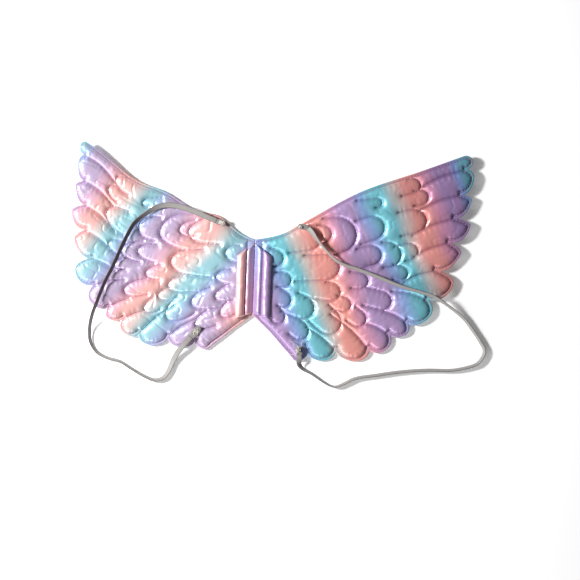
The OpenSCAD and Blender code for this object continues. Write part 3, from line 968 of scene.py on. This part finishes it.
def capsules(starts, ends, radius, bow):
    """One small thread for each pair of points: five rings of six points, thin at both ends and
    bowed up in the middle by a half sine."""
    t = np.array([0.0, 0.18, 0.5, 0.82, 1.0])
    girth = np.array([0.35, 0.9, 1.0, 0.9, 0.35])
    around = 2 * np.pi * np.arange(6) / 6
    ahead = unit(ends - starts)
    level = unit(np.cross([0.0, 0.0, 1.0], ahead))
    up = np.cross(ahead, level)
    centre = starts[:, None] + (ends - starts)[:, None] * t[None, :, None]
    centre[..., 2] += bow * np.sin(np.pi * t)
    ring = (level[:, None, None] * np.cos(around)[None, None, :, None]
            + up[:, None, None] * np.sin(around)[None, None, :, None])
    verts = centre[:, :, None] + ring * (radius * girth)[None, :, None, None]
    one = tube_faces(len(t), len(around))
    size = len(t) * len(around)
    faces = [[v + size * n for v in face] for n in range(len(starts)) for face in one]
    return verts.reshape(-1, 3), faces


def raised_line(side, line, above):
    """A line of the pattern laid on the cloth."""
    total = points_along(line, [0])[1]
    flat = points_along(line, np.arange(0, total, 1.0))[0]
    x, y = lay(side, flat[:, 0], flat[:, 1])
    return np.stack([x, y, lift(side, x) + cloth_top(side, flat[:, 0], flat[:, 1]) + above], -1)


def stitch_piece(name, side, lines, pitch, length, radius, material, above, node):
    rows = [stitch_ends(raised_line(side, line, above), pitch, length) for line in lines]
    starts = np.concatenate([r[0] for r in rows])
    ends = np.concatenate([r[1] for r in rows])
    if node.endswith("quilt_thread"):
        clear = np.minimum(np.abs(starts[:, 0]), np.abs(ends[:, 0])) > FLAP_LINE_X + 1
        starts, ends = starts[clear], ends[clear]
    verts, faces = capsules(starts, ends, radius, 0.12)
    piece = add_piece(name, verts, faces)
    settle(piece, f"{side}_wing", material, "sewing_thread", node)
    print(f"{name}: {len(starts)} stitches")


for side in SIDES:
    stitch_piece(f"{side}_rim_stitches", side, [closed(RIM_LINE)], 3.6, 2.3, 0.34, rim_thread, 0.1,
                 f"{side}_edge_thread")
    stitch_piece(f"{side}_quilting_stitches", side, LINES[side], 3.2, 2.4, 0.2, seam_thread, -0.1,
                 f"{side}_quilt_thread")

# %% [markdown]
# ## Spine flaps
# The seam allowance of each half is turned out, stuffed and sewn down, which leaves two padded
# channels beside the seam: one that rises from it, and a free one that lies on the quilting. One
# closed section, smooth through a few points, is carried down the seam; it flattens at its ends,
# where the cloth is hemmed, and its ends are cut on the slant.

# %% Flap covers
FLAP_SECTION = np.array([
    (0.5, 4.0), (1.2, 4.7), (2.3, 6.0), (3.8, 7.5), (5.2, 8.5), (6.5, 8.8), (7.7, 8.5), (8.6, 8.1),
    (9.3, 9.0), (10.4, 10.7), (12.0, 11.9), (14.0, 12.4), (16.0, 12.1), (17.8, 11.0), (18.8, 9.8),
    (18.8, 8.9), (18.0, 8.35), (14.0, 8.2), (9.8, 8.15), (8.5, 7.5), (8.2, 6.2), (8.1, 4.1), (4.2, 3.95)])
FLAP_TOP = (37.0, 22.0)
FLAP_BOTTOM = (-40.0, -46.5)
FLAP_RINGS = 90
FLAP_SEED = {"right": 61, "left": 67}
FLAP_RUN = 78
FLAP_EASE = 5.0         # mm over which a flap fills out from its flattened end


def closed_curve(points, steps):
    """A closed Catmull-Rom curve."""
    wrapped = np.concatenate([points[-2:], points, points[:2]])
    return smooth_through(wrapped, steps)[2 * steps:-2 * steps - 1 + steps][: len(points) * steps]


def flap_band(side, x, y):
    """Colours of the flap's two channels: each channel is one colour that drifts down the seam."""
    down = clamp01((37 - y) / 80)
    outer = smoothstep(x, 8.2, 9.2)
    if side == "right":
        return (0.18 - 0.14 * down) * (1 - outer) + (0.03 - 0.06 * down) * outer
    return (1.05 - 0.16 * down) * (1 - outer) + (0.80 - 0.06 * down) * outer


def make_flap(side):
    sign = SIDES[side]
    section = closed_curve(FLAP_SECTION, 3)
    sx, sz = section[:, 0], section[:, 1]
    t = np.linspace(0, 1, FLAP_RINGS)[:, None]
    across = sx / 20
    top = FLAP_TOP[0] + (FLAP_TOP[1] - FLAP_TOP[0]) * across
    bottom = FLAP_BOTTOM[0] + (FLAP_BOTTOM[1] - FLAP_BOTTOM[0]) * across
    y = top + (bottom - top) * t
    eased = clamp01(np.minimum(t, 1 - t) * FLAP_RUN / FLAP_EASE)
    full = 0.35 + 0.65 * np.sqrt(eased * (2 - eased))
    seat = np.interp(sx, [0, 8.2, 8.9, 20], [3.95, 4.4, 8.2, 8.2])
    z = seat + (sz - seat) * full
    seed = FLAP_SEED[side]
    buckle = (soft_noise(y, sx + 0 * y, 5.0, seed) * 0.28
              + soft_noise(y, sx * 0.5 + 0 * y, 15.0, seed + 1) * 0.35)
    crown = clamp01((sz - seat) / 3.0)
    z = z + buckle * crown
    x = sx + 0 * y + 0.25 * soft_noise(y, y * 0, 9.0, seed + 2) * smoothstep(sx, 9, 14)
    verts = np.stack([sign * x, y, z], -1).reshape(-1, 3)
    # Painted shade: the dip value darkens the flap's colour along its stitch line, where the groove falls
    # into shade.
    stitch = np.exp(-((x - FLAP_LINE_X) / 0.9) ** 2) * (sz > 7.9)
    piece = add_piece(f"{side}_spine_flap", verts, tube_faces(FLAP_RINGS, len(section)), {
        "band": flap_band(side, x, y), "dip": 0.9 * stitch})
    outwards(piece)
    settle(piece, f"{side}_wing", pearl[side], "pearl_cover", f"{side}_flap_cover", f"{side}_flap_foam")
    row = np.stack([np.full(60, sign * FLAP_LINE_X), np.linspace(31, -41.5, 60), np.full(60, 8.25)], -1)
    starts, ends = stitch_ends(row, 3.6, 2.6)
    hem = np.stack([sign * np.linspace(1.5, 17.5, 30), np.linspace(34.5, 21.8, 30), np.full(30, 0.0)], -1)
    hem[:, 2] = np.interp(np.abs(hem[:, 0]), [0, 4, 8, 9.5, 17.5], [4.8, 6.2, 7.0, 9.4, 9.4])
    hem_starts, hem_ends = stitch_ends(hem, 3.0, 2.2)
    verts, faces = capsules(np.concatenate([starts, hem_starts]), np.concatenate([ends, hem_ends]), 0.26, 0.1)
    thread = add_piece(f"{side}_flap_stitches", verts, faces)
    settle(thread, f"{side}_wing", dark_thread, "sewing_thread", f"{side}_flap_thread")


for side in SIDES:
    make_flap(side)

# %% Centre seam stitches
seam_y = np.arange(-37, 38, 3.2)
seam_starts = np.stack([seam_y * 0 - 0.45, seam_y - 0.5, seam_y * 0 + 3.75], -1)
seam_ends = seam_starts + np.array([0.9, 1.0, 0.0])
seam_verts, seam_faces = capsules(seam_starts, seam_ends, 0.22, 0.1)
centre_seam = add_piece("centre_seam_stitches", seam_verts, seam_faces)
settle(centre_seam, "right_wing", dark_thread, "sewing_thread", "centre_seam_thread")

# %% [markdown]
# ## Strap ends and their threads
# Where a strap is sewn down its end is doubled over, and a hand-sewn tack of thread crosses it. The
# tab is the same woven elastic as the strap, a little soiled. Each thread is a thin tube through a
# few points, placed for its own tack: a tangle, a loop, a stitched-down oval, and a knot with
# loose ends.


# %% Strap end tabs
def place_at(middle, turn, points):
    """Points drawn round a tab's middle, turned with it and put in place."""
    c, s = np.cos(np.radians(turn)), np.sin(np.radians(turn))
    points = np.asarray(points, float)
    x = points[:, 0] * c - points[:, 1] * s + middle[0]
    y = points[:, 0] * s + points[:, 1] * c + middle[1]
    return np.stack([x, y, points[:, 2] + middle[2]], -1)


def make_tab(name, side, node, middle, turn, length, width, oval):
    """A slab of doubled elastic: its width follows a half ellipse at the ends where it is oval."""
    t = np.linspace(-1, 1, 25)
    share = np.sqrt(np.maximum(1 - np.abs(t) ** oval, 0.02))
    ring = flat_profile(1.0, 1.5, 20)
    points = np.stack([
        np.repeat(t * length / 2, len(ring)),
        (share[:, None] * ring[None, :, 0] * width).ravel(),
        (np.sqrt(share)[:, None] * ring[None, :, 1]).ravel() + 0.85], -1)
    piece = add_piece(name, place_at(middle, turn, points), tube_faces(len(t), len(ring)), {
        "along": points[:, 0], "across": points[:, 1], "soil_and_shade": 0.25 + 0 * points[:, 0]})
    outwards(piece)
    settle(piece, f"{side}_wing", elastic, "strap_elastic", node)


TABS = {
    "right_upper": ((52.2, 56.8, 8.05), -8, 12.6, 6.0, 6),
    "right_lower": ((53.0, -79.5, 8.05), 90, 12.0, 6.5, 4),
    "left_upper": ((-38.6, 58.7, 8.05), -4, 12.4, 6.0, 6),
    "left_lower": ((-62.0, -63.4, 8.05), 49, 17.0, 8.5, 2.2),
}
for key, (middle, turn, length, width, oval) in TABS.items():
    make_tab(f"{key}_strap_tab", key.split("_")[0], f"{key}_strap_end", middle, turn, length, width, oval)


# %% Tack threads
def thread_tube(points, radius):
    """A round thread, thinner at its ends, through a few points."""
    path = smooth_through(points, 5)
    around = 2 * np.pi * np.arange(7) / 7
    ahead = unit(np.gradient(path, axis=0))
    level = unit(np.cross(ahead, [0.13, 0.21, 1.0]))
    up = np.cross(ahead, level)
    girth = radius * np.where((np.arange(len(path)) == 0) | (np.arange(len(path)) == len(path) - 1), 0.4, 1)
    ring = level[:, None] * np.cos(around)[None, :, None] + up[:, None] * np.sin(around)[None, :, None]
    verts = path[:, None] + ring * girth[:, None, None]
    return verts.reshape(-1, 3), tube_faces(len(path), len(around))


def join(parts):
    verts, faces, start = [], [], 0
    for v, f in parts:
        verts.append(v)
        faces += [[k + start for k in face] for face in f]
        start += len(v)
    return np.concatenate(verts), faces


def tangle(seed, count, reach, radius, high):
    """Arched threads that cross one another over the tab, their ends in the cloth."""
    rng = np.random.default_rng(seed)
    parts = []
    for _ in range(count):
        angle = rng.uniform(0, 2 * np.pi)
        bend = angle + np.pi + rng.uniform(-0.9, 0.9)
        a = np.array([np.cos(angle), np.sin(angle) * 0.8, 0]) * reach * rng.uniform(0.6, 1)
        b = np.array([np.cos(bend), np.sin(bend) * 0.8, 0]) * reach * rng.uniform(0.6, 1)
        middle = (a + b) / 2 + rng.uniform(-1, 1, 3) * reach * 0.25
        middle[2] = high * rng.uniform(0.8, 1.25)
        parts.append(thread_tube([a, a * 0.7 + middle * 0.3 + [0, 0, high * 0.5], middle,
                                  b * 0.7 + middle * 0.3 + [0, 0, high * 0.5], b], radius))
    return parts


def knot(seed, turns, reach, radius):
    """Small upright loops round a common middle, each turned and tilted its own way."""
    rng = np.random.default_rng(seed)
    parts = []
    for _ in range(turns):
        u = unit(rng.normal(size=3) * [1, 1, 0.6])
        v = unit(np.cross(u, rng.normal(size=3)))
        angle = np.linspace(0, 2 * np.pi * 0.93, 9)[:, None]
        size = reach * rng.uniform(0.65, 1)
        parts.append(thread_tube(size * (np.cos(angle) * u + np.sin(angle) * v * 0.7) + [0, 0, 1.6], radius))
    return parts


def make_tack(name, side, node, middle, turn, parts):
    verts, faces = join(parts)
    piece = add_piece(name, place_at(middle, turn, verts), faces)
    settle(piece, f"{side}_wing", pale_thread, "tack_thread", node)


LOOSE_ENDS = [
    [(1, 0, 2), (4, -3, 2.6), (8, -3.5, 1.6), (11, -6, 0.6)],
    [(0, 1, 2), (3, 5, 3.0), (7, 6, 2.4), (9, 10, 1.0)],
    [(-1, 0, 2), (-4, 2, 2.4), (-6, 6, 1.2), (-5, 9, 0.4)],
]
make_tack("left_upper_tangle", "left", "left_upper_tack", (-37.0, 58.0, 8.9), 0,
          tangle(3, 15, 4.6, 0.34, 1.6))
make_tack("right_upper_loop", "right", "right_upper_tack", (49.0, 57.0, 9.2), 20,
          tangle(8, 6, 3.0, 0.34, 1.3) + knot(4, 3, 2.0, 0.32))
make_tack("left_lower_stitching", "left", "left_lower_tack", (-61.0, -62.3, 9.2), 49,
          tangle(12, 8, 5.4, 0.28, 0.9))
make_tack("right_lower_knot", "right", "right_lower_tack", (52.0, -77.5, 9.2), 90,
          tangle(5, 9, 5.0, 0.36, 1.6) + knot(9, 9, 3.2, 0.38)
          + [thread_tube(np.array(line, float), 0.28) for line in LOOSE_ENDS])

# %% [markdown]
# ## Floor and light
# A pale floor, a near lamp on the left that gives the soft shadows on the right of each feather,
# a long low panel in front on the left whose reflection draws the bright bands, and an even sky.

# %% Floor
FLOOR_HALF = 3.0
FLOOR_DROP = 0.0004     # metres below the wings, so that the two never share a plane
floor_mesh = bpy.data.meshes.new("floor")
corners = ((-1, -1), (1, -1), (1, 1), (-1, 1))
floor_mesh.from_pydata([(FLOOR_HALF * x, FLOOR_HALF * y, 0) for x, y in corners], [], [(0, 1, 2, 3)])
floor = bpy.data.objects.new("floor", floor_mesh)
floor.location.z = -FLOOR_DROP
scene.collection.objects.link(floor)
floor_material, floor_nodes, _ = new_material("pale floor")
set_sockets(floor_nodes["Principled BSDF"], {
    "Base Color": (0.93, 0.93, 0.93, 1), "Roughness": 0.9, "Specular IOR Level": 0.2,
    "Emission Color": (1, 1, 1, 1), "Emission Strength": 0.16})
floor_mesh.materials.append(floor_material)
print("floor is", 2 * FLOOR_HALF, "m wide")


# %% Lights
def add_panel(name, place, size, power):
    """A soft rectangular lamp that faces the origin."""
    data = bpy.data.lights.new(name, "AREA")
    data.shape = "RECTANGLE"
    data.size, data.size_y = size
    data.energy = power
    lamp = bpy.data.objects.new(name, data)
    lamp.location = place
    lamp.rotation_euler = (-Vector(place)).to_track_quat("-Z", "Y").to_euler()
    scene.collection.objects.link(lamp)


add_panel("key lamp", (-0.90, 0.22, 0.84), (0.22, 0.22), 27.0)
add_panel("front panel", (-0.80, -1.60, 1.0), (1.6, 0.6), 21.0)
scene.view_settings.view_transform = "Standard"
world = bpy.data.worlds.new("studio")
scene.world = world
world.use_nodes = True
set_sockets(world.node_tree.nodes["Background"], {"Color": (1, 1, 1, 1), "Strength": 0.1})
print("lamps set")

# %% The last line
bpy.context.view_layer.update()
